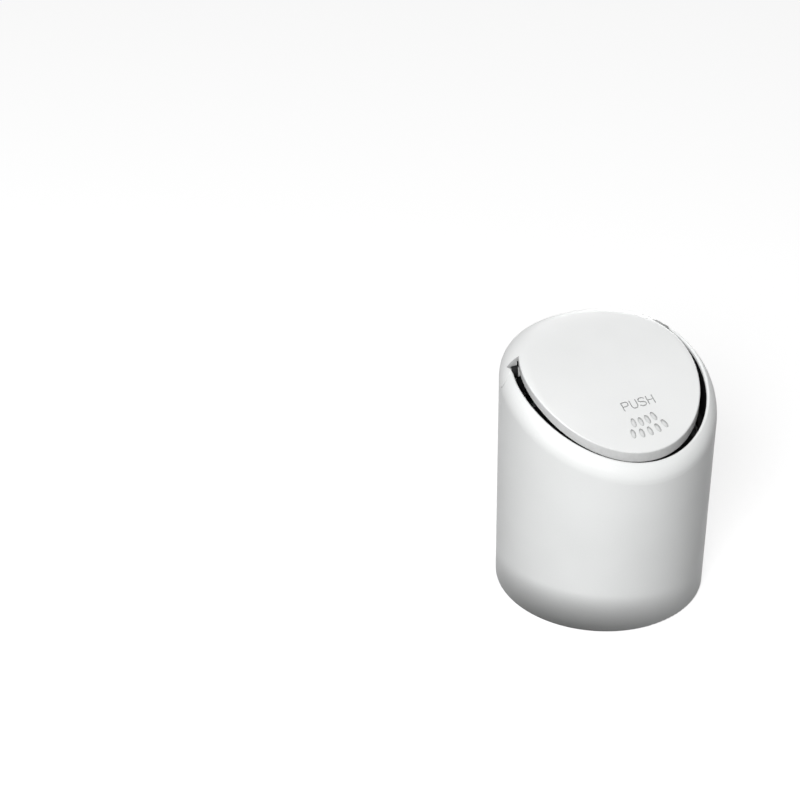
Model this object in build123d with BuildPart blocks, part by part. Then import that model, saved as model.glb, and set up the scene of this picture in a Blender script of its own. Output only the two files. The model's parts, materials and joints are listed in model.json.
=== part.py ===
from build123d import *
import math
import os

# Small car bin with a push lid. Millimetres, +Z up, front towards -Y.
# The origin is on the floor, at the middle of the round base.

# Outer form: a round wall that widens upwards, under a crowned slanting top.
# The crown is three tangent arcs seen from the side, the same all the way across.
base_radius = 46.0
wall_draft = 0.47
crown_height = 113.0
crown_back = 32.5
crown_radii = (75.0, 136.0, 338.0)
crown_turns = (14.4, 26.7)
shoulder_radius = 11.0
foot_round = 0.5

# Shell and mouth
shell_wall = 2.0
rim_width = 5.2
rim_round = 0.8
lid_gap = 2.9
seam_gap = 0.25
part_fit = 0.3

# Lid
lid_skin = 2.0
lid_edge_depth = 3.8
lid_edge_wall = 1.8
lid_edge_round = 0.8
panel_thickness = 1.4
panel_end = 9.0

# Hinge, just under the lid at the ends of the gap
hinge_back = 18.0
hinge_drop = 7.4
knuckle_radius = 4.6
lug_radius = 2.4
roof_setback = 0.8
notch_radius = 6.0
notch_reach = 2.1
pin_radius = 1.5
pin_running_fit = 0.05
pin_grip_depth = 6.0
pin_head_radius = 2.6
pin_head_thickness = 0.8
pin_chamfer = 0.3
ear_radius = 4.4
ear_width = 3.6
side_clearance = 0.8
lug_setback = 0.2
arm_thickness = 5.0
arm_nose = 4.0
arm_bevel = 2.0
arm_gap = 0.7

# Return springs
wire_radius = 0.35
coil_radius = 2.3
coil_pitch = 1.2
coil_turns = 4
coil_side_gap = 0.6
front_leg = 10.0
rear_leg = 9.0
tab_width = 2.2
tab_length = 3.0

# Mouth frame
throat_width = 0.0
frame_fit = 0.2
hole_fit = 0.02
face_fit = 0.05
collar_reach = 2.3
collar_height = 3.6
collar_drop = 4.0
hook_width = 6.0
hook_height = 2.0
hook_depth = 0.8
hook_angle = 35.0
post_radius = 2.4
post_height = 16.0
post_angle = 30.0
post_tip = 2.0
flange_thickness = 2.4
frame_screw_radius = 1.1
frame_screw_reach = 8.0
screw_head_radius = 1.7
screw_head_height = 1.2
bumper_radius = 1.3
bumper_depth = 2.0
bumper_stand = 0.5
bumper_angle = 12.0
bumper_stem_step = 0.3
rest_thickness = 3.0
slot_key_radius = 0.9
slot_key_depth = 0.7

# Lid screws, under the front of the lid
lid_screw_radius = 0.9
lid_boss_radius = 2.2
lid_screw_reach = 1.4
rib_length = 3.0
rib_width = 2.4
lid_screw_places = ((20.0, -6.0), (15.0, -24.0))

# Base
pad_radius = 38.0
pad_thickness = 2.0
pad_stand = 0.8
pad_groove_depth = 0.4
pad_groove_width = 1.0
pad_grooves = (12.0, 20.0, 28.0)
base_chamfer = 0.6
base_floor = 1.4
base_height = 9.0
base_rim_wall = 2.4
grip_height = 2.4
grip_level = 4.0
grip_depth = 1.4
grip_fit = 0.1
grip_round = 0.5
ledge_height = 2.0

# Bucket and bag ring
bucket_wall = 1.4
bucket_round = 4.0
bead_height = 1.6
ring_lift = 5.0
ring_clearance = 1.5
ring_round = 0.4
ring_thickness = 1.2
ring_wall = 1.1
ring_depth = 5.0
ring_overhang = 0.4

# Finger recesses and the word on the lid
recess_length = 4.4
recess_width = 2.3
recess_depth = 0.7
recess_rows = ((26.4, 4), (31.0, 5))
recess_step = 7.4
recess_turn = 2.0
word_side = 2.5
word_back = -18.8
letter_height = 3.9
letter_width = 2.9
letter_step = 4.1
letter_stroke = 0.5
word_depth = 0.5

# Derived sizes shared by several pieces
draft_slope = math.tan(math.radians(wall_draft))
shell_bottom = pad_stand
reach = base_radius + shoulder_radius
mouth_radius = base_radius + crown_height * draft_slope - rim_width
lid_radius = mouth_radius - lid_gap
throat_radius = mouth_radius + throat_width
collar_radius = throat_radius - collar_reach


def crown_centres():
    """Centres of the crown's arcs in the side view, from the level line forwards."""
    centres = [(crown_back, crown_height - crown_radii[0])]
    for small, large, turn in zip(crown_radii, crown_radii[1:], crown_turns):
        back, level = centres[-1]
        angle = math.radians(turn)
        centres.append((back + (large - small) * math.sin(angle), level - (large - small) * math.cos(angle)))
    return centres


def crown_point(arc, angle, drop):
    """Point on one arc of the crown, lowered by drop along its normal."""
    back, level = crown_centres()[arc]
    radius = crown_radii[arc] - drop
    return (back - radius * math.sin(angle), level + radius * math.cos(angle))


def crown_level(back, drop=0.0):
    """Height of the crown, lowered by drop, at one distance behind the axis."""
    joints = [crown_point(arc, math.radians(turn), drop)[0] for arc, turn in enumerate(crown_turns)]
    arc = sum(back < joint for joint in joints)
    centre_back, centre_level = crown_centres()[arc]
    radius = crown_radii[arc] - drop
    return centre_level + math.sqrt(radius**2 - (back - centre_back) ** 2)


def wall_radius(level, inset=0.0):
    """Radius of the outer wall at one height, less inset."""
    return base_radius + level * draft_slope - inset


def under_crown(drop, floor):
    """Everything between a floor and the crown lowered by drop, wider than the bin."""
    centres = crown_centres()
    rear = math.asin((crown_back - reach) / (crown_radii[0] - drop))
    front = math.asin((centres[-1][0] + reach) / (crown_radii[-1] - drop))
    ends = [rear, *(math.radians(turn) for turn in crown_turns), front]
    with BuildPart() as body:
        with BuildSketch(Plane.YZ):
            with BuildLine():
                for arc in range(len(crown_radii)):
                    low, high = ends[arc], ends[arc + 1]
                    ThreePointArc(*(crown_point(arc, angle, drop) for angle in (low, (low + high) / 2, high)))
                first = crown_point(0, ends[0], drop)
                last = crown_point(len(crown_radii) - 1, ends[-1], drop)
                Polyline(last, (last[0], floor), (first[0], floor), first)
            make_face()
        extrude(amount=reach, both=True)
    return body.part


def envelope(inset, floor):
    """The bin's outer form, shrunk by inset all over, with its rounded shoulder."""
    crown = under_crown(inset, floor)
    top = crown_height + shoulder_radius
    with BuildPart() as body:
        with BuildSketch(Plane.XZ):
            Polygon(
                (0, floor),
                (wall_radius(floor, inset), floor),
                (wall_radius(top, inset), top),
                (0, top),
                align=None,
            )
        revolve(axis=Axis.Z)
        add(crown, mode=Mode.INTERSECT)
        rim_edges = body.edges().filter_by(GeomType.LINE, reverse=True).sort_by(Axis.Z)[1:]
        fillet(rim_edges, shoulder_radius - inset)
    return body.part


def upright(radius, low, high):
    """Plain cylinder on the bin's axis between two heights."""
    with BuildPart() as body:
        with BuildSketch(Plane.XY.offset(low)):
            Circle(radius)
        extrude(amount=high - low)
    return body.part


def crosswise(radius, start, end):
    """Cylinder about the hinge axis between two distances from the middle, on both sides."""
    with BuildPart() as body:
        with BuildSketch(Plane.YZ.offset(start)):
            with Locations((hinge_back, hinge_level)):
                Circle(radius)
        extrude(amount=end - start)
        mirror(about=Plane.YZ)
    return body.part


def rear_block(front, floor):
    """Everything behind one plane and above a floor, wider than the bin."""
    with BuildPart() as body:
        with BuildSketch(Plane.XY.offset(floor)):
            with Locations((0, front)):
                Rectangle(2 * reach, 2 * reach, align=(Align.CENTER, Align.MIN))
        extrude(amount=crown_height)
    return body.part


hinge_level = crown_level(hinge_back) - hinge_drop
roof_floor = hinge_level - knuckle_radius
roof_front = hinge_back + roof_setback
lug_start = math.sqrt(lid_radius**2 - hinge_back**2) + lug_setback
pin_end = lug_start + pin_grip_depth
relief_radius = knuckle_radius + seam_gap
relief_start = lug_start - seam_gap
ear_end = lug_start - side_clearance
ear_start = ear_end - ear_width
notch_end = math.sqrt(mouth_radius**2 - hinge_back**2) + notch_reach
lid_front_floor = crown_level(-lid_radius) - lid_edge_depth
ledge_level = lid_front_floor - collar_drop
frame_bottom = ledge_level - collar_height
frame_top = roof_floor - seam_gap - part_fit
ring_top = frame_bottom - ring_lift - ring_clearance
bucket_top = ring_top - ring_thickness - part_fit
bottom_floor = pad_thickness + base_floor
shell_inner_low = wall_radius(shell_bottom, shell_wall)
base_plate_radius = shell_inner_low - part_fit
bucket_radius = base_plate_radius - base_rim_wall - part_fit
ledge_radius = bucket_radius + 2 * part_fit + ring_overhang
post_place = wall_radius(frame_bottom, shell_wall) - post_radius
panel_radius = lid_radius - lid_edge_wall - part_fit
coil_start = ear_start - coil_side_gap - part_fit - wire_radius - coil_turns * coil_pitch

shell_form = envelope(0.0, shell_bottom)
shell_cavity = envelope(shell_wall, 0.0)
roof_region = rear_block(roof_front, roof_floor)
knuckles = crosswise(knuckle_radius, notch_end, reach)
lugs = crosswise(lug_radius, lug_start, reach)

# Outer shell: one wall from the floor to the rim, open below, cut away behind the hinge for the lid
mouth_cut = upright(mouth_radius, ledge_level, crown_height + shoulder_radius)
rear_cut = rear_block(hinge_back, roof_floor - seam_gap)
knuckle_relief = crosswise(relief_radius, relief_start, reach)
notch_relief = crosswise(notch_radius, relief_start, notch_end)
with BuildPart() as outer_shell:
    add(shell_form)
    foot_edge = outer_shell.edges().filter_by(GeomType.CIRCLE).sort_by(Axis.Z)[0]
    fillet(foot_edge, foot_round)
    add(mouth_cut, mode=Mode.SUBTRACT)
    rim_edges = [
        edge
        for edge in outer_shell.edges()
        if abs(math.hypot((edge @ 0.5).X, (edge @ 0.5).Y) - mouth_radius) < part_fit
        and (edge @ 0.5).Z > frame_top
        and edge.geom_type != GeomType.LINE
    ]
    fillet(rim_edges, rim_round)
    add(shell_cavity, mode=Mode.SUBTRACT)
    for cut in (rear_cut, knuckle_relief, notch_relief):
        add(cut, mode=Mode.SUBTRACT)
    # Ledge that rests on the base plate
    ledge_low = base_height + part_fit
    with BuildSketch(Plane.XZ):
        Polygon(
            (ledge_radius, ledge_low),
            (wall_radius(ledge_low, shell_wall / 2), ledge_low),
            (wall_radius(ledge_low + 2 * ledge_height, shell_wall / 2), ledge_low + 2 * ledge_height),
            (wall_radius(ledge_low + 2 * ledge_height, shell_wall), ledge_low + 2 * ledge_height),
            (ledge_radius, ledge_low + ledge_height),
            align=None,
        )
    revolve(axis=Axis.Z)
    # Screw posts for the mouth frame, webbed to the rear wall
    post_low = frame_bottom + flange_thickness + part_fit
    with BuildSketch(Plane.XY.offset(post_low)):
        for side in (-1, 1):
            with PolarLocations(post_place, 1, 90 + side * post_angle):
                Circle(post_radius)
                Rectangle(post_radius + shell_wall / 2, 2 * post_radius, align=(Align.MIN, Align.CENTER))
    extrude(amount=post_height)
    with BuildSketch(Plane.XY.offset(post_low)):
        for side in (-1, 1):
            with PolarLocations(post_place, 1, 90 + side * post_angle):
                Circle(frame_screw_radius + hole_fit)
    extrude(amount=post_height - post_tip, mode=Mode.SUBTRACT)
    # Pockets for the frame's hooks, in the front wall
    hook_level = frame_bottom + hook_height
    hook_place = wall_radius(hook_level, shell_wall)
    with BuildSketch(Plane.XY.offset(hook_level - part_fit)):
        for side in (-1, 1):
            with PolarLocations(hook_place, 1, -90 + side * hook_angle):
                Rectangle(2 * (hook_depth + part_fit), hook_width + 2 * part_fit)
    extrude(amount=hook_height + 2 * part_fit, mode=Mode.SUBTRACT)
outer_shell.part.label = "outer_shell"

# Mouth frame: dark ring inside the shoulder that walls the throat and carries the hinge ears
frame_form = envelope(shell_wall + frame_fit, shell_bottom)
below_frame = upright(reach, 0, frame_bottom)
frame_slot_radius = post_radius + part_fit
frame_relief = crosswise(relief_radius + part_fit, relief_start, reach)
frame_notch = crosswise(notch_radius + part_fit, relief_start, notch_end + part_fit)
frame_rear_cut = rear_block(hinge_back - part_fit, frame_top)
throat_cut = upright(throat_radius, ledge_level, crown_height + shoulder_radius)
collar_cut = upright(collar_radius, 0, crown_height)
bumper_place = (throat_radius + wall_radius(frame_top, shell_wall + frame_fit)) / 2
arm_top = hinge_level - ear_radius - arm_gap
arm_bottom = arm_top - arm_thickness
arm_front = hinge_back - arm_nose
tab_rear = hinge_back + rear_leg
tab_top = hinge_level - coil_radius - wire_radius - part_fit
with BuildPart() as hinge_arms:
    # Ears that hold the pins, on arms that reach forward from the rear of the ring
    with BuildSketch(Plane.YZ.offset(ear_start)):
        with Locations((hinge_back, hinge_level)):
            Circle(ear_radius)
        Polygon(
            (arm_front, arm_bottom + arm_bevel),
            (arm_front, arm_top),
            (hinge_back - ear_radius, hinge_level),
            (hinge_back + ear_radius, hinge_level),
            (hinge_back + ear_radius + arm_bevel, arm_top),
            (reach, arm_top),
            (reach, arm_bottom),
            (arm_front + arm_bevel, arm_bottom),
            align=None,
        )
    extrude(amount=ear_width)
    # Small tab beside each arm under the spring's rear leg
    with BuildSketch(Plane.YZ.offset(ear_start - tab_width)):
        Polygon(
            (tab_rear - tab_length, arm_bottom),
            (tab_rear - tab_length, tab_top),
            (tab_rear, tab_top),
            (tab_rear, arm_bottom),
            align=None,
        )
    extrude(amount=tab_width + ear_width / 2)
    with BuildSketch(Plane.YZ.offset(ear_start)):
        with Locations((hinge_back, hinge_level)):
            Circle(pin_radius + pin_running_fit)
    extrude(amount=ear_width, mode=Mode.SUBTRACT)
    mirror(about=Plane.YZ)
    add(frame_form, mode=Mode.INTERSECT)

with BuildPart() as mouth_frame:
    add(frame_form)
    add(below_frame, mode=Mode.SUBTRACT)
    add(throat_cut, mode=Mode.SUBTRACT)
    add(collar_cut, mode=Mode.SUBTRACT)
    for cut in (frame_rear_cut, frame_relief, frame_notch):
        add(cut, mode=Mode.SUBTRACT)
    # Slots that pass the shell's screw posts, with a flange left below for the screws
    with BuildSketch(Plane.XY.offset(frame_bottom + flange_thickness)):
        for side in (-1, 1):
            with PolarLocations(post_place, 1, 90 + side * post_angle):
                Circle(frame_slot_radius)
                Rectangle(2 * post_radius, 2 * frame_slot_radius, align=(Align.MIN, Align.CENTER))
    extrude(amount=crown_height, mode=Mode.SUBTRACT)
    with BuildSketch(Plane.XY.offset(frame_bottom)):
        for side in (-1, 1):
            with PolarLocations(post_place, 1, 90 + side * post_angle):
                Circle(frame_screw_radius + frame_fit)
    extrude(amount=flange_thickness, mode=Mode.SUBTRACT)
    with BuildSketch(Plane.XY.offset(frame_bottom)):
        for side in (-1, 1):
            with PolarLocations(post_place, 1, 90 + side * post_angle):
                Circle(screw_head_radius + frame_fit)
    extrude(amount=screw_head_height, mode=Mode.SUBTRACT)
    # Holes for the stems of the rubber stops
    with BuildSketch(Plane.XY.offset(frame_top - bumper_depth - frame_fit)):
        for side in (-1, 1):
            with PolarLocations(bumper_place, 1, 90 - side * bumper_angle):
                Circle(bumper_radius - bumper_stem_step + hole_fit)
    extrude(amount=bumper_depth + frame_fit, mode=Mode.SUBTRACT)
    # Hooks that snap into the shell's pockets
    with BuildSketch(Plane.XY.offset(hook_level)):
        for side in (-1, 1):
            with PolarLocations(hook_place - shell_wall / 2, 1, -90 + side * hook_angle):
                Rectangle(hook_depth + shell_wall / 2, hook_width, align=(Align.MIN, Align.CENTER))
    extrude(amount=hook_height)
    add(hinge_arms.part)
mouth_frame.part.label = "mouth_frame"

# Two screws up through the frame's flange into the shell's posts, heads sunk in the flange
with BuildPart() as frame_screws:
    with BuildSketch(Plane.XY.offset(frame_bottom)):
        for side in (-1, 1):
            with PolarLocations(post_place, 1, 90 + side * post_angle):
                Circle(screw_head_radius)
    extrude(amount=screw_head_height)
    with BuildSketch(Plane.XY.offset(frame_bottom + screw_head_height)):
        for side in (-1, 1):
            with PolarLocations(post_place, 1, 90 + side * post_angle):
                Circle(frame_screw_radius)
    extrude(amount=flange_thickness - screw_head_height + frame_screw_reach)
    with BuildSketch(Plane.XY.offset(frame_bottom)):
        for side in (-1, 1):
            with PolarLocations(post_place, 1, 90 + side * post_angle):
                RegularPolygon(slot_key_radius, 6)
    extrude(amount=slot_key_depth, mode=Mode.SUBTRACT)
frame_screws.part.label = "frame_screws"


def stop_pad(side):
    """Rubber stop at one side of the rear: a stem in the frame's hole and a head standing on it."""
    angle = 90 - side * bumper_angle
    with BuildPart() as pad:
        with BuildSketch(Plane.XY.offset(frame_top - bumper_depth)):
            with PolarLocations(bumper_place, 1, angle):
                Circle(bumper_radius - bumper_stem_step)
        extrude(amount=bumper_depth)
        with BuildSketch(Plane.XY.offset(frame_top)):
            with PolarLocations(bumper_place, 1, angle):
                Circle(bumper_radius)
        extrude(amount=bumper_stand)
        chamfer(pad.faces().sort_by(Axis.Z)[-1].edges(), bumper_stand / 2)
    return pad.part


stop_pad_left = stop_pad(-1)
stop_pad_left.label = "stop_pad_left"
stop_pad_right = stop_pad(1)
stop_pad_right.label = "stop_pad_right"

# Lid panel: crowned skin with a shallow edge round its front, and a full-width roof behind the hinge
tall = crown_height + shoulder_radius
lid_column = upright(lid_radius, shell_bottom, tall)
lid_core = upright(lid_radius - lid_edge_wall, 0, tall)
below_edge = under_crown(lid_edge_depth, -tall)
below_skin = envelope(lid_skin, 0.0)
roof_hollow = rear_block(roof_front + lid_edge_wall, 0)
rest_low = frame_top + bumper_stand + part_fit


def crown_normal(back):
    """Direction square to the crown at one distance behind the axis."""
    joints = [crown_point(arc, math.radians(turn), 0)[0] for arc, turn in enumerate(crown_turns)]
    centre = crown_centres()[sum(back < joint for joint in joints)]
    return Vector(0, back - centre[0], crown_level(back) - centre[1]).normalized()


def crown_plane(x, back, drop, across=(1, 0, 0)):
    """Plane square to the crown over one point, sunk below it by drop."""
    normal = crown_normal(back)
    origin = Vector(x, back, crown_level(back)) - normal * drop
    return Plane(origin=origin, x_dir=across, z_dir=normal)


def letter_strokes(letter):
    """Corner points of one capital's strokes, in a box one wide and one high."""
    bowl = [(0, 0), (0, 1), (0.75, 1), (1, 0.88), (1, 0.6), (0.75, 0.47), (0, 0.47)]
    cup = [(0, 1), (0, 0.25), (0.25, 0), (0.75, 0), (1, 0.25), (1, 1)]
    upper = [(1, 0.85), (0.75, 1), (0.25, 1), (0, 0.85), (0, 0.66), (0.25, 0.53)]
    lower = [(0.75, 0.47), (1, 0.34), (1, 0.15), (0.75, 0), (0.25, 0), (0, 0.15)]
    posts = [[(0, 0), (0, 1)], [(1, 0), (1, 1)], [(0, 0.5), (1, 0.5)]]
    return {"P": [bowl], "U": [cup], "S": [upper + lower], "H": posts}[letter]


def word_segments(word):
    """Each straight stroke of a centred word, as two end points."""
    segments = []
    for place, letter in enumerate(word):
        left = (place - (len(word) - 1) / 2) * letter_step - letter_width / 2
        for stroke in letter_strokes(letter):
            points = [(left + u * letter_width, (v - 0.5) * letter_height) for u, v in stroke]
            segments += zip(points, points[1:])
    return segments


with BuildPart() as lid_disc:
    add(shell_form)
    add(lid_column, mode=Mode.INTERSECT)
    disc_rim = lid_disc.edges().filter_by(GeomType.LINE, reverse=True).sort_by(Axis.Z)[1:]
    fillet(disc_rim, lid_edge_round)
    add(below_edge, mode=Mode.SUBTRACT)
    add(roof_region, mode=Mode.SUBTRACT)

with BuildPart() as lid_hollow:
    add(lid_core)
    add(roof_hollow)
    add(below_skin, mode=Mode.INTERSECT)

with BuildPart() as lid_details:
    # Pivot lugs at the ends of the gap, and rests over the rubber stops
    add(knuckles)
    add(lugs)
    with BuildSketch(Plane.XY.offset(rest_low)):
        for side in (-1, 1):
            with PolarLocations(bumper_place, 1, 90 - side * bumper_angle):
                Rectangle(4 * bumper_radius, 2 * bumper_radius)
    extrude(amount=rest_thickness)
    add(shell_form, mode=Mode.INTERSECT)

with BuildPart() as ear_room:
    # Space for the frame's ears and the roots of their arms
    with BuildSketch(Plane.YZ.offset(ear_start - side_clearance)):
        with Locations((hinge_back, hinge_level)):
            Circle(ear_radius + seam_gap)
        Polygon(
            (hinge_back - ear_radius - seam_gap, hinge_level),
            (hinge_back + ear_radius + seam_gap, hinge_level),
            (hinge_back + ear_radius + seam_gap + arm_bevel, arm_top),
            (hinge_back - ear_radius - seam_gap, arm_top),
            align=None,
        )
    extrude(amount=ear_width + 2 * side_clearance)
    mirror(about=Plane.YZ)

boss_drop = lid_edge_depth - panel_thickness - face_fit
with BuildPart() as lid_panel:
    add(shell_form)
    add(roof_region, mode=Mode.INTERSECT)
    add(lid_disc.part)
    add(lid_hollow.part, mode=Mode.SUBTRACT)
    add(ear_room.part, mode=Mode.SUBTRACT)
    add(lid_details.part)
    add(crosswise(pin_radius, coil_start, pin_end), mode=Mode.SUBTRACT)
    # Bosses for the lid screws
    for x, back in lid_screw_places:
        for side in (-1, 1):
            with BuildSketch(crown_plane(side * x, back, boss_drop)):
                Circle(lid_boss_radius)
            extrude(amount=boss_drop - lid_skin / 2)
            with BuildSketch(crown_plane(side * x, back, boss_drop)):
                Circle(lid_screw_radius + hole_fit)
            extrude(amount=lid_screw_reach + frame_fit, mode=Mode.SUBTRACT)
    # Finger recesses, fanned about the bin's axis
    for radius, count in recess_rows:
        for place in range(count):
            angle = math.radians((place - (count - 1) / 2) * recess_step + recess_turn)
            spot = crown_plane(
                radius * math.sin(angle),
                -radius * math.cos(angle),
                0,
                (math.cos(angle), math.sin(angle), 0),
            )
            with BuildSketch(spot):
                Ellipse(recess_width / 2, recess_length / 2)
            extrude(amount=-recess_depth, mode=Mode.SUBTRACT)
    # Word that says where to press
    with BuildSketch(crown_plane(word_side, word_back, 0)):
        for start, end in word_segments("PUSH"):
            run, rise = end[0] - start[0], end[1] - start[1]
            with Locations(((start[0] + end[0]) / 2, (start[1] + end[1]) / 2)):
                SlotCenterToCenter(math.hypot(run, rise), letter_stroke, math.degrees(math.atan2(rise, run)))
    extrude(amount=-word_depth, mode=Mode.SUBTRACT)
lid_panel.part.label = "lid_panel"

# Inner panel that closes the front of the lid, with a rib over each spring's front leg
panel_column = upright(panel_radius, 0, tall)
behind_panel = rear_block(panel_end, 0)
panel_form = under_crown(lid_edge_depth - panel_thickness, -tall)
rib_low = hinge_level - coil_radius + wire_radius + part_fit
with BuildPart() as lid_inner:
    add(panel_form)
    add(below_edge, mode=Mode.SUBTRACT)
    add(panel_column, mode=Mode.INTERSECT)
    add(behind_panel, mode=Mode.SUBTRACT)
    rib_places = (panel_end - rib_length, panel_end)
    rib_tops = [crown_level(back, lid_edge_depth - panel_thickness / 2) for back in rib_places]
    for side in (-1, 1):
        with BuildSketch(Plane.YZ.offset(side * coil_start - rib_width / 2)):
            Polygon(
                (rib_places[0], rib_low),
                (rib_places[1], rib_low),
                (rib_places[1], rib_tops[1]),
                (rib_places[0], rib_tops[0]),
                align=None,
            )
        extrude(amount=rib_width)
    for x, back in lid_screw_places:
        for side in (-1, 1):
            with BuildSketch(crown_plane(side * x, back, lid_edge_depth + panel_thickness)):
                Circle(lid_screw_radius + frame_fit)
            extrude(amount=3 * panel_thickness, mode=Mode.SUBTRACT)
lid_inner.part.label = "lid_inner"

# Four pan-head screws up through the inner panel
head_drop = lid_edge_depth + face_fit
with BuildPart() as lid_screws:
    for x, back in lid_screw_places:
        for side in (-1, 1):
            with BuildSketch(crown_plane(side * x, back, head_drop)):
                Circle(lid_screw_radius)
            extrude(amount=head_drop - boss_drop + lid_screw_reach)
            with BuildSketch(crown_plane(side * x, back, head_drop)):
                Circle(screw_head_radius)
            extrude(amount=-screw_head_height)
            with BuildSketch(crown_plane(side * x, back, head_drop + screw_head_height)):
                RegularPolygon(slot_key_radius, 6)
            extrude(amount=slot_key_depth, mode=Mode.SUBTRACT)
lid_screws.part.label = "lid_screws"

# Headed hinge pins, pressed into the lid's lugs and turning in the frame's ears
head_start = coil_start - wire_radius - part_fit - pin_head_thickness
with BuildPart() as hinge_pin_right:
    with BuildSketch(Plane.YZ.offset(head_start)):
        with Locations((hinge_back, hinge_level)):
            Circle(pin_head_radius)
    extrude(amount=pin_head_thickness)
    with BuildSketch(Plane.YZ.offset(head_start)):
        with Locations((hinge_back, hinge_level)):
            Circle(pin_radius)
    extrude(amount=pin_end - head_start)
    chamfer(hinge_pin_right.faces().sort_by(Axis.X)[-1].edges(), pin_chamfer)
hinge_pin_right.part.label = "hinge_pin_right"
with BuildPart() as hinge_pin_left:
    mirror(hinge_pin_right.part, about=Plane.YZ)
hinge_pin_left.part.label = "hinge_pin_left"


def coil_point(turn):
    """Point and direction on the spring's winding, counted in turns from its lowest point by the ear."""
    angle = 2 * math.pi * turn
    point = Vector(
        coil_start + (coil_turns - turn) * coil_pitch,
        hinge_back - coil_radius * math.sin(angle),
        hinge_level - coil_radius * math.cos(angle),
    )
    speed = 2 * math.pi * coil_radius
    heading = Vector(-coil_pitch, -speed * math.cos(angle), speed * math.sin(angle))
    return point, heading.normalized()


def biarc_joint(start, start_heading, end, end_heading):
    """Where two equal tangent arcs between two points on the winding meet."""
    chord = end - start
    both = start_heading + end_heading
    square = both.dot(both) - 4
    middle = -2 * chord.dot(both)
    constant = chord.dot(chord)
    length = (-middle - math.sqrt(middle**2 - 4 * square * constant)) / (2 * square)
    near = start + start_heading * length
    far = end - end_heading * length
    return (near + far) * 0.5, (far - near).normalized()


# Torsion springs round the pins: rear leg on the frame's tab, front leg under the lid
with BuildPart() as lid_spring_right:
    with BuildLine() as winding:
        first, first_heading = coil_point(0)
        last, last_heading = coil_point(coil_turns)
        Line(first - first_heading * rear_leg, first)
        for quarter in range(4 * coil_turns):
            start, heading = coil_point(quarter / 4)
            end, end_heading = coil_point((quarter + 1) / 4)
            joint, joint_heading = biarc_joint(start, heading, end, end_heading)
            TangentArc(start, joint, tangent=heading)
            TangentArc(joint, end, tangent=joint_heading)
        Line(last, last + last_heading * front_leg)
    with BuildSketch(Plane(origin=first - first_heading * rear_leg, z_dir=first_heading)):
        Circle(wire_radius)
    sweep()
lid_spring_right.part.label = "lid_spring_right"
with BuildPart() as lid_spring_left:
    mirror(lid_spring_right.part, about=Plane.YZ)
lid_spring_left.part.label = "lid_spring_left"
turn_steps = 24
wire_points = [coil_point(step / turn_steps)[0] for step in range(turn_steps * coil_turns + 1)]
least_gap = min(
    (there - here).length - 2 * wire_radius
    for place, here in enumerate(wire_points)
    for there in wire_points[place + turn_steps // 2 :]
)
print("least gap of the spring's wire to itself, mm:", round(least_gap, 3))

# Non-slip pad, grooved underneath
with BuildPart() as base_pad:
    with BuildSketch(Plane.XY):
        Circle(pad_radius)
    extrude(amount=pad_thickness)
    with BuildSketch(Plane.XY):
        for groove in pad_grooves:
            Circle(groove + pad_groove_width / 2)
            Circle(groove - pad_groove_width / 2, mode=Mode.SUBTRACT)
    extrude(amount=pad_groove_depth, mode=Mode.SUBTRACT)
base_pad.part.label = "base_pad"

# Base plate: dish that holds the bucket, recessed below for the pad, grooved outside for the grip ring
groove_radius = base_plate_radius - grip_depth
rim_inner = base_plate_radius - base_rim_wall
with BuildPart() as base_plate:
    with BuildSketch(Plane.XZ):
        Polygon(
            (0, pad_thickness),
            (pad_radius + part_fit, pad_thickness),
            (pad_radius + part_fit, shell_bottom),
            (base_plate_radius - base_chamfer, shell_bottom),
            (base_plate_radius, shell_bottom + base_chamfer),
            (base_plate_radius, grip_level),
            (groove_radius, grip_level),
            (groove_radius, grip_level + grip_height),
            (base_plate_radius, grip_level + grip_height),
            (base_plate_radius, base_height),
            (rim_inner, base_height),
            (rim_inner, bottom_floor),
            (0, bottom_floor),
            align=None,
        )
    revolve(axis=Axis.Z)
base_plate.part.label = "base_plate"

# Soft ring in the base plate's groove, just clear of the shell's wall
grip_outer = wall_radius(grip_level, shell_wall) - grip_fit
with BuildPart() as grip_ring:
    with BuildSketch(Plane.XZ):
        with Locations(((groove_radius + grip_outer) / 2, grip_level + grip_height / 2)):
            RectangleRounded(grip_outer - groove_radius - grip_fit, grip_height - 2 * grip_fit, grip_round)
    revolve(axis=Axis.Z)
grip_ring.part.label = "grip_ring"

# Bucket with a rounded foot and a small bead round its edge
bucket_inner = bucket_radius - bucket_wall
with BuildPart() as inner_bucket:
    with BuildSketch(Plane.XY.offset(bottom_floor)):
        Circle(bucket_radius)
    extrude(amount=bucket_top - bottom_floor)
    fillet(inner_bucket.edges().filter_by(GeomType.CIRCLE).sort_by(Axis.Z)[0], bucket_round)
    with BuildSketch(Plane.XY.offset(bucket_top - bead_height)):
        Circle(bucket_radius + ring_overhang)
    extrude(amount=bead_height)
    with BuildSketch(Plane.XY.offset(bottom_floor + bucket_wall)):
        Circle(bucket_inner)
    extrude(amount=bucket_top, mode=Mode.SUBTRACT)
    floor_edge = inner_bucket.faces().filter_by(Axis.Z).sort_by(Axis.Z)[1].edges()
    fillet(floor_edge, bucket_round - bucket_wall)
inner_bucket.part.label = "inner_bucket"

# Bag ring: a flange over the bucket's edge and a skirt that holds the bag against its inside
ring_inner = bucket_inner - part_fit - ring_wall
with BuildPart() as bag_ring:
    with BuildSketch(Plane.XZ):
        Polygon(
            (ring_inner, ring_top - ring_thickness - ring_depth),
            (ring_inner + ring_wall, ring_top - ring_thickness - ring_depth),
            (ring_inner + ring_wall, ring_top - ring_thickness),
            (bucket_radius + ring_overhang, ring_top - ring_thickness),
            (bucket_radius + ring_overhang, ring_top),
            (ring_inner, ring_top),
            align=None,
        )
    revolve(axis=Axis.Z)
    fillet(bag_ring.edges().filter_by(GeomType.CIRCLE).group_by(Axis.Z)[-1], ring_round)
bag_ring.part.label = "bag_ring"

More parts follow.
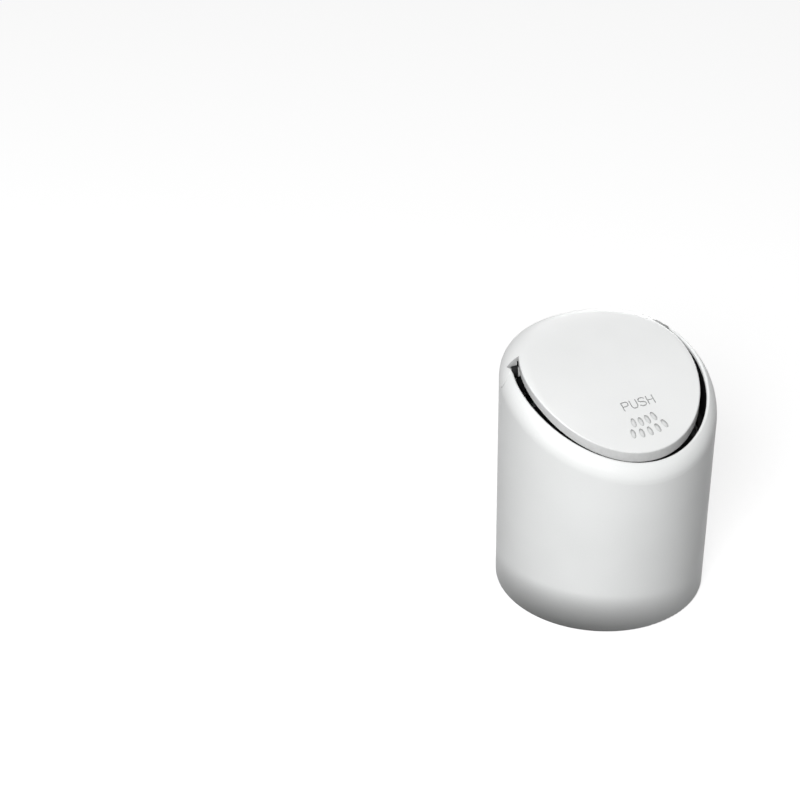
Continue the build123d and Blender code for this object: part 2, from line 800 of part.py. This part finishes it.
pieces = [
    outer_shell,
    mouth_frame,
    frame_screws,
    lid_panel,
    lid_inner,
    lid_screws,
    hinge_pin_left,
    hinge_pin_right,
    lid_spring_left,
    lid_spring_right,
    base_pad,
    base_plate,
    grip_ring,
    inner_bucket,
    bag_ring,
]
os.makedirs("parts", exist_ok=True)
for piece in pieces:
    export_step(piece.part, f"parts/{piece.part.label}.step")
for pad in (stop_pad_left, stop_pad_right):
    export_step(pad, f"parts/{pad.label}.step")
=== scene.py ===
import json
import math
import bpy
from mathutils import Matrix, Vector


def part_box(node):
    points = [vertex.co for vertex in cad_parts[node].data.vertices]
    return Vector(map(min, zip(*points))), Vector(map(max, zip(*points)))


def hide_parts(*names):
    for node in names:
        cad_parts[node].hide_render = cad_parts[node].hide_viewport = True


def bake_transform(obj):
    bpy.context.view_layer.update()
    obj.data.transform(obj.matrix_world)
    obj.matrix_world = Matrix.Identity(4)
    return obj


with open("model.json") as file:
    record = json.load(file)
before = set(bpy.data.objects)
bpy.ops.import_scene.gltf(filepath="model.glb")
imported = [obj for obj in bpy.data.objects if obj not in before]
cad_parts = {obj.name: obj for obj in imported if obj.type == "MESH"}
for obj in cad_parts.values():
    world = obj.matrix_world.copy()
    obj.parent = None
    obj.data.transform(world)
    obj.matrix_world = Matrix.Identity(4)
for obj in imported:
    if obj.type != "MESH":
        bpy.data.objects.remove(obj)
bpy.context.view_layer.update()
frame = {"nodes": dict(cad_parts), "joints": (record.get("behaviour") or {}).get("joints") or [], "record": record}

# Small car bin with a push lid. Metres, +Z up, front towards -Y.
nodes = frame["nodes"]
MM = 0.001


# Camera: the photograph's angle, in its 800 by 800 frame
PHOTO_WIDTH = 800
FOCAL_PIXELS = 2200
SENSOR_WIDTH = 36.0
CAMERA_PLACE = Vector((-0.4562, -0.6686, 0.5777))
CAMERA_TURN = math.radians(28.0)
CAMERA_TILT = math.radians(31.24)


def make_camera():
    """Camera that looks along the photograph's line of sight."""
    camera = bpy.data.cameras.new("camera")
    camera.sensor_width = SENSOR_WIDTH
    camera.lens = FOCAL_PIXELS / PHOTO_WIDTH * SENSOR_WIDTH
    camera.clip_start = 0.01
    camera.clip_end = 20.0
    seen = bpy.data.objects.new("camera", camera)
    bpy.context.scene.collection.objects.link(seen)
    right = Vector((math.cos(CAMERA_TURN), -math.sin(CAMERA_TURN), 0))
    ahead = Vector(
        (
            math.cos(CAMERA_TILT) * math.sin(CAMERA_TURN),
            math.cos(CAMERA_TILT) * math.cos(CAMERA_TURN),
            -math.sin(CAMERA_TILT),
        )
    )
    up = right.cross(ahead)
    seen.matrix_world = Matrix(
        (
            (right.x, up.x, -ahead.x, CAMERA_PLACE.x),
            (right.y, up.y, -ahead.y, CAMERA_PLACE.y),
            (right.z, up.z, -ahead.z, CAMERA_PLACE.z),
            (0, 0, 0, 1),
        )
    )
    bpy.context.scene.camera = seen


# Shader nodes: values and colours worked out from places on the bin
def new_material(name):
    """Node material with its principled shader."""
    material = bpy.data.materials.new(name)
    material.use_nodes = True
    tree = material.node_tree
    return material, tree, tree.nodes["Principled BSDF"]


def object_point(tree):
    """Object coordinates, which are the bin's own metres."""
    return tree.nodes.new("ShaderNodeTexCoord").outputs["Object"]


def noise(tree, scale, detail, roughness=0.5, stretch=(1, 1, 1)):
    """Grain at one scale, in cycles a metre, stretched along the axes."""
    mapping = tree.nodes.new("ShaderNodeMapping")
    mapping.inputs["Scale"].default_value = stretch
    tree.links.new(object_point(tree), mapping.inputs["Vector"])
    grain = tree.nodes.new("ShaderNodeTexNoise")
    grain.inputs["Scale"].default_value = scale
    grain.inputs["Detail"].default_value = detail
    grain.inputs["Roughness"].default_value = roughness
    tree.links.new(mapping.outputs["Vector"], grain.inputs["Vector"])
    return grain.outputs["Fac"]


def spread(tree, value, low, high, start, end):
    """Low where the value is at its start, high at its end, and even steps between."""
    node = tree.nodes.new("ShaderNodeMapRange")
    node.inputs["From Min"].default_value = start
    node.inputs["From Max"].default_value = end
    node.inputs["To Min"].default_value = low
    node.inputs["To Max"].default_value = high
    tree.links.new(value, node.inputs["Value"])
    return node.outputs["Result"]


def calculate(tree, operation, first, second=0):
    """Sum, product or other result of two values, each a number or an output."""
    node = tree.nodes.new("ShaderNodeMath")
    node.operation = operation
    for socket, value in zip(node.inputs, (first, second)):
        if isinstance(value, (int, float)):
            socket.default_value = value
        else:
            tree.links.new(value, socket)
    return node.outputs["Value"]


def product(tree, first, second):
    """One value times another."""
    return calculate(tree, "MULTIPLY", first, second)


def vectors(tree, operation, first, second=(0, 0, 0)):
    """Outputs of an operation on a vector output and a second vector, an output or three numbers."""
    node = tree.nodes.new("ShaderNodeVectorMath")
    node.operation = operation
    tree.links.new(first, node.inputs[0])
    if isinstance(second, (tuple, list)):
        node.inputs[1].default_value = second
    else:
        tree.links.new(second, node.inputs[1])
    return node.outputs


def parts_of(tree, vector):
    """X, Y and Z of a vector output."""
    parts = tree.nodes.new("ShaderNodeSeparateXYZ")
    tree.links.new(vector, parts.inputs["Vector"])
    return parts.outputs


def mixed(tree, factor, first, second):
    """Colour between two colours, or colour outputs, by a factor."""
    node = tree.nodes.new("ShaderNodeMix")
    node.data_type = "RGBA"
    tree.links.new(factor, node.inputs["Factor"])
    for name, colour in (("A", first), ("B", second)):
        socket = [s for s in node.inputs if s.name == name and s.type == "RGBA"][0]
        if isinstance(colour, tuple):
            socket.default_value = (*colour, 1)
        else:
            tree.links.new(colour, socket)
    return [s for s in node.outputs if s.type == "RGBA"][0]


def shade(tint, share, lift=0.0):
    """Colour darkened or lightened by a share, and lifted by an amount."""
    return tuple(part * share + lift for part in tint)


def bumps(tree, shader, layers):
    """Chain of bumps, each from a height output, its strength and its depth in metres."""
    last = None
    for height, strength, depth in layers:
        node = tree.nodes.new("ShaderNodeBump")
        node.inputs["Strength"].default_value = strength
        node.inputs["Distance"].default_value = depth
        tree.links.new(height, node.inputs["Height"])
        if last:
            tree.links.new(last, node.inputs["Normal"])
        last = node.outputs["Normal"]
    tree.links.new(last, shader.inputs["Normal"])


def axis_distance(tree):
    """Distance from the bin's upright axis."""
    flat = vectors(tree, "MULTIPLY", object_point(tree), (1, 1, 0))["Vector"]
    return vectors(tree, "LENGTH", flat)["Value"]


def near(tree, value, place, width):
    """One at a place, falling to zero a width away from it."""
    offset = calculate(tree, "ABSOLUTE", calculate(tree, "SUBTRACT", value, place))
    return spread(tree, offset, low=1, high=0, start=0, end=width)


def seen_directly(tree):
    """One for rays that show what they meet: from the camera, in a reflection or through a clear piece."""
    path = tree.nodes.new("ShaderNodeLightPath").outputs
    shown = calculate(tree, "MAXIMUM", path["Is Camera Ray"], path["Is Glossy Ray"])
    return calculate(tree, "MAXIMUM", shown, path["Is Transmission Ray"])


# Light: a soft box over the camera's left shoulder, a low one behind, a weak one overhead, a pale surround
SURROUND_LIGHT = 0.06
LAMP_AIM = (0, 0, 0.06)
KEY_PLACE = (-1.04, -0.96, 1.15)
KEY_SIZE = 0.9
KEY_POWER = 35
BACK_PLACE = (1.0, 0.95, 0.25)
BACK_SIZE = 0.9
BACK_POWER = 14
TOP_PLACE = (0.0, -0.1, 1.6)
TOP_SIZE = 1.4
TOP_POWER = 3


def make_world():
    """White where it is seen, but weak as a light."""
    world = bpy.data.worlds.new("studio")
    bpy.context.scene.world = world
    world.use_nodes = True
    tree = world.node_tree
    tree.nodes.clear()
    output = tree.nodes.new("ShaderNodeOutputWorld")
    mix = tree.nodes.new("ShaderNodeMixShader")
    tree.links.new(seen_directly(tree), mix.inputs["Fac"])
    for socket, strength in ((mix.inputs[1], SURROUND_LIGHT), (mix.inputs[2], 1.0)):
        background = tree.nodes.new("ShaderNodeBackground")
        background.inputs["Color"].default_value = (1, 1, 1, 1)
        background.inputs["Strength"].default_value = strength
        tree.links.new(background.outputs[0], socket)
    tree.links.new(mix.outputs[0], output.inputs["Surface"])


def group_of(name, thing, state):
    """Group for a lamp's links that takes in one thing only, or leaves out only that one."""
    group = bpy.data.collections.new(name)
    group.objects.link(thing)
    group.collection_objects[0].light_linking.link_state = state
    return group


def area_light(name, place, size, power):
    """Square soft box that looks at the bin."""
    lamp = bpy.data.lights.new(name, "AREA")
    lamp.shape = "SQUARE"
    lamp.size = size
    lamp.energy = power
    holder = bpy.data.objects.new(name, lamp)
    holder.location = place
    direction = Vector(LAMP_AIM) - Vector(place)
    holder.rotation_euler = direction.to_track_quat("-Z", "Y").to_euler()
    bpy.context.scene.collection.objects.link(holder)
    return holder


def make_lamps(floor, baffle):
    """Key for the bin, the same key for the floor, and two boxes that open up the bin's back and top.

    The baffle shades the bin's foot from the key alone. Of the lamps, only floor_key lights the floor."""
    key = area_light("key", KEY_PLACE, KEY_SIZE, KEY_POWER)
    floor_key = area_light("floor_key", KEY_PLACE, KEY_SIZE, KEY_POWER)
    back = area_light("back", BACK_PLACE, BACK_SIZE, BACK_POWER)
    top = area_light("top", TOP_PLACE, TOP_SIZE, TOP_POWER)
    not_floor = group_of("all_but_floor", floor, "EXCLUDE")
    not_baffle = group_of("all_but_baffle", baffle, "EXCLUDE")
    for lamp in (key, back, top):
        lamp.light_linking.receiver_collection = not_floor
    floor_key.light_linking.receiver_collection = group_of("only_floor", floor, "INCLUDE")
    for lamp in (floor_key, back, top):
        lamp.light_linking.blocker_collection = not_baffle


# Floor, a square whose own glow lifts it to white where it is seen in full light
FLOOR_HALF = 6.0
FLOOR_LIFT = 0.78
FLOOR_PAPER = 0.45
FLOOR_BOUNCE = 0.2
FLOOR_BOUNCE_NEAR = 0.03
BOUNCE_START = 0.05
BOUNCE_END = 0.2


def make_floor():
    """Pale floor that keeps the bin's shadow and throws little light up."""
    mesh = bpy.data.meshes.new("floor")
    corners = [(x * FLOOR_HALF, y * FLOOR_HALF, 0) for x, y in ((-1, -1), (1, -1), (1, 1), (-1, 1))]
    mesh.from_pydata(corners, [], [(0, 1, 2, 3)])
    floor = bpy.data.objects.new("floor", mesh)
    bpy.context.scene.collection.objects.link(floor)
    material = bpy.data.materials.new("floor_paper")
    material.use_nodes = True
    tree = material.node_tree
    tree.nodes.clear()
    output = tree.nodes.new("ShaderNodeOutputMaterial")
    paper = tree.nodes.new("ShaderNodeBsdfDiffuse")
    seen = seen_directly(tree)
    thrown = spread(tree, axis_distance(tree), FLOOR_BOUNCE_NEAR, FLOOR_BOUNCE, BOUNCE_START, BOUNCE_END)
    shown = product(tree, seen, FLOOR_PAPER)
    hidden = product(tree, calculate(tree, "SUBTRACT", 1, seen), thrown)
    tree.links.new(calculate(tree, "ADD", shown, hidden), paper.inputs["Color"])
    glow = tree.nodes.new("ShaderNodeEmission")
    glow.inputs["Color"].default_value = (1, 1, 1, 1)
    tree.links.new(product(tree, seen, FLOOR_LIFT), glow.inputs["Strength"])
    both = tree.nodes.new("ShaderNodeAddShader")
    tree.links.new(paper.outputs[0], both.inputs[0])
    tree.links.new(glow.outputs[0], both.inputs[1])
    tree.links.new(both.outputs[0], output.inputs["Surface"])
    mesh.materials.append(material)
    return floor


# Baffle, a black collar round the base that keeps the key off the lowest part of the wall
BAFFLE_RADIUS = 0.07
BAFFLE_LOW = 0.0005
BAFFLE_HIGH = 0.0315
BAFFLE_SIDES = 96


def make_baffle():
    """Collar that only shades: neither the camera nor a reflection shows it."""
    vertices = []
    for level in (BAFFLE_LOW, BAFFLE_HIGH):
        for side in range(BAFFLE_SIDES):
            angle = 2 * math.pi * side / BAFFLE_SIDES
            vertices.append((BAFFLE_RADIUS * math.cos(angle), BAFFLE_RADIUS * math.sin(angle), level))
    faces = []
    for side in range(BAFFLE_SIDES):
        beside = (side + 1) % BAFFLE_SIDES
        faces.append((side, beside, beside + BAFFLE_SIDES, side + BAFFLE_SIDES))
    mesh = bpy.data.meshes.new("baffle")
    mesh.from_pydata(vertices, [], faces)
    baffle = bpy.data.objects.new("baffle", mesh)
    bpy.context.scene.collection.objects.link(baffle)
    material, _, shader = new_material("baffle_black")
    shader.inputs["Base Color"].default_value = (0.01, 0.01, 0.01, 1)
    shader.inputs["Roughness"].default_value = 1.0
    mesh.materials.append(material)
    baffle.visible_camera = False
    baffle.visible_diffuse = False
    baffle.visible_glossy = False
    baffle.visible_transmission = False
    return baffle


# Silver-white shell and lid: rubbed along their edges, with painted shade in their recesses and gaps, on the lid's
# upright edge, and black on its pivots
MOUTH_RADIUS = 41.7 * MM
LID_RADIUS = 38.8 * MM
LID_HINGE = next(joint for joint in frame["joints"] if joint["name"] == "lid_rock")
HINGE_FADE = 3.0 * MM
PIVOT_SHADE_REACH = 3.0 * MM
PIVOT_SHADE_FADE = 0.45 * MM
PIVOT_START = LID_RADIUS + 0.1 * MM
PIVOT_FULL = LID_RADIUS + 0.3 * MM
PIVOT_END = MOUTH_RADIUS + 0.8 * MM
PIVOT_SHADE_BLACK = (0.012, 0.012, 0.013)
BAND_FADE = 0.8 * MM
BAND_SHADE = 0.4
EDGE_RUB = 0.9 * MM
FOOT_RUB = 2.2 * MM
RECESS_SHADE_REACH = 5.0 * MM
FLECK_SILVER = (0.95, 0.955, 0.95)
DRIFT_SHARE = 0.965
WORN_SHARE = 0.9
PAINTED_SHADE_SHARE = 0.42
RUB_ROUGHNESS = 0.15
SATIN_SMOOTHEST = 0.4
SATIN_ROUGHEST = 0.48
SATIN_PIT = 0.02 * MM
PEEL_WAVE = 0.05 * MM


def painted_recess_shade(tree):
    """One deep in recesses, grooves and gaps, where shade is painted; zero on open faces."""
    hollow = tree.nodes.new("ShaderNodeAmbientOcclusion")
    hollow.samples = 12
    hollow.only_local = True
    hollow.inputs["Distance"].default_value = RECESS_SHADE_REACH
    return spread(tree, hollow.outputs["AO"], low=1, high=0, start=0.45, end=0.92)


def ahead_of_hinge(tree):
    """One on the part of the lid in front of its hinge, zero behind it."""
    hinge_back = LID_HINGE["pos_m"][1]
    back = parts_of(tree, object_point(tree))["Y"]
    return spread(tree, back, low=1, high=0, start=hinge_back - HINGE_FADE, end=hinge_back)


def pivot_shade(tree):
    """One on the lid's pivots in the gap between its rim and the mouth, where black shade is painted; zero on its
    open faces.
    """
    offset = vectors(tree, "SUBTRACT", object_point(tree), LID_HINGE["pos_m"])["Vector"]
    across = vectors(tree, "MULTIPLY", offset, (0, 1, 1))["Vector"]
    from_hinge = vectors(tree, "LENGTH", across)["Value"]
    close = spread(tree, from_hinge, low=1, high=0, start=PIVOT_SHADE_REACH - PIVOT_SHADE_FADE, end=PIVOT_SHADE_REACH)
    far_out = axis_distance(tree)
    past_rim = spread(tree, far_out, low=0, high=1, start=PIVOT_START, end=PIVOT_FULL)
    in_mouth = spread(tree, far_out, low=1, high=0, start=MOUTH_RADIUS, end=PIVOT_END)
    return product(tree, close, product(tree, past_rim, in_mouth))


def upright_edge_shade(tree):
    """One on the lid's upright edge in front of its hinge, where shade is painted."""
    normal = tree.nodes.new("ShaderNodeTexCoord").outputs["Normal"]
    rise = calculate(tree, "ABSOLUTE", parts_of(tree, normal)["Z"])
    steep = spread(tree, rise, low=1, high=0, start=0.2, end=0.8)
    at_rim = near(tree, axis_distance(tree), LID_RADIUS, BAND_FADE)
    return product(tree, steep, product(tree, ahead_of_hinge(tree), at_rim))


def rubbed_edges(tree, scuffs, radius, lid):
    """Up to nearly one along the foot and the edge at a radius, in patches."""
    rim = near(tree, axis_distance(tree), radius, EDGE_RUB)
    if lid:
        rim = product(tree, rim, ahead_of_hinge(tree))
    foot = near(tree, parts_of(tree, object_point(tree))["Z"], 0, FOOT_RUB)
    patches = spread(tree, scuffs, low=0, high=0.9, start=0.42, end=0.62)
    return product(tree, calculate(tree, "MAXIMUM", rim, foot), patches)


def pearl_plastic(name, tint, flake, rubbed_radius, lid=False):
    """Silver-white satin plastic: fine fleck, slow colour drift, orange peel, rubbed along its edges.

    Painted shade darkens its recesses, grooves and gaps. The lid also has painted shade on its upright edge, and
    its pivots in the gap are painted black as shade."""
    material, tree, shader = new_material(name)
    drift = spread(tree, noise(tree, scale=28, detail=2), low=0, high=1, start=0.35, end=0.65)
    fleck = spread(tree, noise(tree, scale=5200, detail=1), low=0, high=flake, start=0.55, end=0.8)
    scuffs = noise(tree, scale=420, detail=4, roughness=0.65)
    rubbed = rubbed_edges(tree, scuffs, rubbed_radius, lid)
    # Painted shade: darker in recesses, grooves and gaps, in patches
    recess_shade = product(tree, painted_recess_shade(tree), spread(tree, scuffs, low=0.75, high=1, start=0.3, end=0.7))
    painted_shade_colour = shade(tint, PAINTED_SHADE_SHARE)
    colour = mixed(tree, fleck, mixed(tree, drift, shade(tint, DRIFT_SHARE), tint), FLECK_SILVER)
    colour = mixed(tree, rubbed, colour, shade(tint, WORN_SHARE))
    colour = mixed(tree, recess_shade, colour, painted_shade_colour)
    if lid:
        # Painted shade on the lid's upright edge, greyer than the rest of the lid
        colour = mixed(tree, product(tree, upright_edge_shade(tree), BAND_SHADE), colour, painted_shade_colour)
        # Pivots painted black as shade where they stand in the gap
        colour = mixed(tree, pivot_shade(tree), colour, PIVOT_SHADE_BLACK)
    tree.links.new(colour, shader.inputs["Base Color"])
    cloudy = noise(tree, scale=90, detail=4, roughness=0.6)
    satin = spread(tree, cloudy, low=SATIN_SMOOTHEST, high=SATIN_ROUGHEST, start=0.3, end=0.7)
    roughness = calculate(tree, "ADD", satin, product(tree, rubbed, RUB_ROUGHNESS))
    tree.links.new(roughness, shader.inputs["Roughness"])
    shader.inputs["Metallic"].default_value = 0.02
    shader.inputs["Specular IOR Level"].default_value = 0.25
    shader.inputs["Coat Weight"].default_value = 0.05
    shader.inputs["Coat Roughness"].default_value = 0.22
    fine = noise(tree, scale=1500, detail=2)
    peel = noise(tree, scale=260, detail=2)
    bumps(tree, shader, [(fine, 0.12, SATIN_PIT), (peel, 0.1, PEEL_WAVE)])
    return material


# Dark plastic, rubber and steel
MOULD_RUB = 0.35 * MM
MOULD_VARIATION = 0.06
RUBBER_PIT = 0.03 * MM
RUBBER_BLOOM = 0.05
DRAWN_LINE = 0.01 * MM
STEEL_DULL = 0.72
STEEL_SMOOTHER = 0.06
STEEL_ROUGHER = 0.08


def edges(tree, radius):
    """Near one along sharp edges, zero on open faces."""
    rounded = tree.nodes.new("ShaderNodeBevel")
    rounded.samples = 4
    rounded.inputs["Radius"].default_value = radius
    plain = tree.nodes.new("ShaderNodeNewGeometry").outputs["Normal"]
    likeness = vectors(tree, "DOT_PRODUCT", rounded.outputs["Normal"], plain)["Value"]
    return spread(tree, likeness, low=1, high=0, start=0.8, end=0.995)


def moulded_plastic(name, tint, roughness, grain_depth):
    """Dark moulded plastic with a fine spark-eroded grain and paler rubbed edges."""
    material, tree, shader = new_material(name)
    drift = spread(tree, noise(tree, scale=60, detail=3), low=0, high=1, start=0.3, end=0.7)
    scuffs = noise(tree, scale=500, detail=4, roughness=0.65)
    patches = spread(tree, scuffs, low=0, high=0.8, start=0.4, end=0.65)
    rubbed = product(tree, edges(tree, MOULD_RUB), patches)
    body = mixed(tree, drift, tint, shade(tint, share=1.5, lift=0.004))
    colour = mixed(tree, rubbed, body, shade(tint, share=2.4, lift=0.02))
    tree.links.new(colour, shader.inputs["Base Color"])
    smoothest = roughness - MOULD_VARIATION
    roughest = roughness + MOULD_VARIATION
    satin = spread(tree, scuffs, low=smoothest, high=roughest, start=0.3, end=0.7)
    tree.links.new(satin, shader.inputs["Roughness"])
    shader.inputs["Specular IOR Level"].default_value = 0.25
    grain = noise(tree, scale=2600, detail=3, roughness=0.6)
    waves = noise(tree, scale=400, detail=2)
    bumps(tree, shader, [(grain, 0.5, grain_depth), (waves, 0.15, grain_depth)])
    return material


def soft_rubber(name, tint):
    """Matt rubber with a dusty bloom."""
    material, tree, shader = new_material(name)
    bloom = noise(tree, scale=160, detail=4, roughness=0.7)
    patches = spread(tree, bloom, low=0, high=0.7, start=0.45, end=0.75)
    colour = mixed(tree, patches, tint, shade(tint, share=1, lift=RUBBER_BLOOM))
    tree.links.new(colour, shader.inputs["Base Color"])
    matt = spread(tree, bloom, low=0.7, high=0.88, start=0.3, end=0.7)
    tree.links.new(matt, shader.inputs["Roughness"])
    shader.inputs["Specular IOR Level"].default_value = 0.35
    bumps(tree, shader, [(noise(tree, scale=1800, detail=3, roughness=0.6), 0.4, RUBBER_PIT)])
    return material


def steel(name, tint, roughness, stretch):
    """Bare steel with fine drawn lines along one axis."""
    material, tree, shader = new_material(name)
    lines = noise(tree, scale=1600, detail=3, roughness=0.6, stretch=stretch)
    bright = spread(tree, lines, low=0, high=1, start=0.3, end=0.7)
    tree.links.new(mixed(tree, bright, shade(tint, STEEL_DULL), tint), shader.inputs["Base Color"])
    smoothest = roughness - STEEL_SMOOTHER
    roughest = roughness + STEEL_ROUGHER
    brushed = spread(tree, lines, low=smoothest, high=roughest, start=0.3, end=0.7)
    tree.links.new(brushed, shader.inputs["Roughness"])
    shader.inputs["Metallic"].default_value = 1.0
    bumps(tree, shader, [(lines, 0.3, DRAWN_LINE)])
    return material


def make_materials():
    """One material for each slot of the record."""
    return {
        "shell": pearl_plastic("shell_pearl", (0.85, 0.862, 0.858), 0.5, MOUTH_RADIUS),
        "lid": pearl_plastic("lid_pearl", (0.862, 0.87, 0.867), 0.4, LID_RADIUS, lid=True),
        "frame": moulded_plastic("frame_black", (0.008, 0.008, 0.009), 0.62, 0.02 * MM),
        "bucket": moulded_plastic("bucket_grey", (0.075, 0.077, 0.08), 0.5, 0.025 * MM),
        "rubber": soft_rubber("rubber_black", (0.03, 0.03, 0.031)),
        "screws": steel("screw_steel", (0.62, 0.61, 0.59), 0.3, (1, 1, 0.1)),
        "pins": steel("pin_steel", (0.66, 0.66, 0.65), 0.22, (0.08, 1, 1)),
        "springs": steel("spring_steel", (0.5, 0.5, 0.51), 0.28, (1, 0.2, 0.2)),
    }


# Return springs: wound wire between the frame, at its rear leg, and the lid, at its front leg
WIRE_RADIUS = 0.35 * MM
COIL_RADIUS = 2.3 * MM
COIL_TURNS = 4
FRONT_LEG = 10.0 * MM
REAR_LEG = 9.0 * MM
TURN_STEPS = 32
LEG_STEPS = 8
WIRE_SIDES = 14
END_ROUNDING = (0.35, 0.7, 0.92)


def spring_line(side, outer, pitch, back, level):
    """Points along the wire, from the rear leg's end through the winding to the front leg's end."""
    line = []
    for step in range(TURN_STEPS * COIL_TURNS + 1):
        turn = step / TURN_STEPS
        angle = 2 * math.pi * turn
        across = side * (outer - turn * pitch)
        line.append(
            Vector((across, back - COIL_RADIUS * math.sin(angle), level - COIL_RADIUS * math.cos(angle)))
        )
    lead = Vector((-side * pitch, -2 * math.pi * COIL_RADIUS, 0)).normalized()
    rear = [line[0] - lead * REAR_LEG * (1 - step / LEG_STEPS) for step in range(LEG_STEPS)]
    front = [line[-1] + lead * FRONT_LEG * (step + 1) / LEG_STEPS for step in range(LEG_STEPS)]
    return rear + line + front


def wire_stations(line):
    """Place, heading and radius of each ring of the wire, drawn in at its two ends."""
    ahead = [(b - a).normalized() for a, b in zip(line, line[1:])]
    bends = [(a + b).normalized() for a, b in zip(ahead, ahead[1:])]
    along = [(point, heading, WIRE_RADIUS) for point, heading in zip(line[1:-1], bends)]
    caps = [(share * WIRE_RADIUS, WIRE_RADIUS * math.sqrt(1 - share**2)) for share in END_ROUNDING]
    first, last = ahead[0], ahead[-1]
    start = [(line[0] - first * (reach - WIRE_RADIUS), first, radius) for reach, radius in reversed(caps)]
    end = [(line[-1] + last * (reach - WIRE_RADIUS), last, radius) for reach, radius in caps]
    return start + along + end


def wire_mesh(name, line):
    """Round wire along a line."""
    stations = wire_stations(line)
    side = stations[0][1].orthogonal().normalized()
    vertices = []
    for point, heading, radius in stations:
        side = (side - heading * side.dot(heading)).normalized()
        other = heading.cross(side)
        for corner in range(WIRE_SIDES):
            angle = 2 * math.pi * corner / WIRE_SIDES
            vertices.append(point + radius * (math.cos(angle) * side + math.sin(angle) * other))
    faces = []
    for ring in range(len(stations) - 1):
        for corner in range(WIRE_SIDES):
            here = ring * WIRE_SIDES + corner
            beside = ring * WIRE_SIDES + (corner + 1) % WIRE_SIDES
            faces.append((here, beside, beside + WIRE_SIDES, here + WIRE_SIDES))
    last = (len(stations) - 1) * WIRE_SIDES
    faces.append(tuple(reversed(range(WIRE_SIDES))))
    faces.append(tuple(range(last, last + WIRE_SIDES)))
    mesh = bpy.data.meshes.new(name)
    mesh.from_pydata(vertices, [], faces)
    mesh.polygons.foreach_set("use_smooth", [len(face) == 4 for face in faces])
    mesh.update()
    return mesh


def make_spring(name, side, material):
    """Wound spring between the mouth frame and the lid, in place of its plain solid."""
    low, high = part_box(name)
    reach = sorted((abs(low.x), abs(high.x)))
    inner, outer = reach[0] + WIRE_RADIUS, reach[1] - WIRE_RADIUS
    back = low.y + FRONT_LEG + (high.y - low.y - FRONT_LEG - REAR_LEG) / 2
    level = (low.z + high.z) / 2
    line = spring_line(side, outer, (outer - inner) / COIL_TURNS, back, level)
    spring = bpy.data.objects.new(name + "_wire", wire_mesh(name + "_wire", line))
    bpy.context.scene.collection.objects.link(spring)
    spring.data.materials.append(material)
    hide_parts(name)
    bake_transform(spring)


bpy.context.scene.view_settings.view_transform = "Standard"
make_camera()
make_world()
floor = make_floor()
baffle = make_baffle()
make_lamps(floor, baffle)
materials = make_materials()
for entry in frame["record"]["subparts"]:
    node = nodes[entry["node"]]
    node.data.materials.clear()
    node.data.materials.append(materials[entry["material_slot"]])
make_spring("lid_spring_left", -1, materials["springs"])
make_spring("lid_spring_right", 1, materials["springs"])
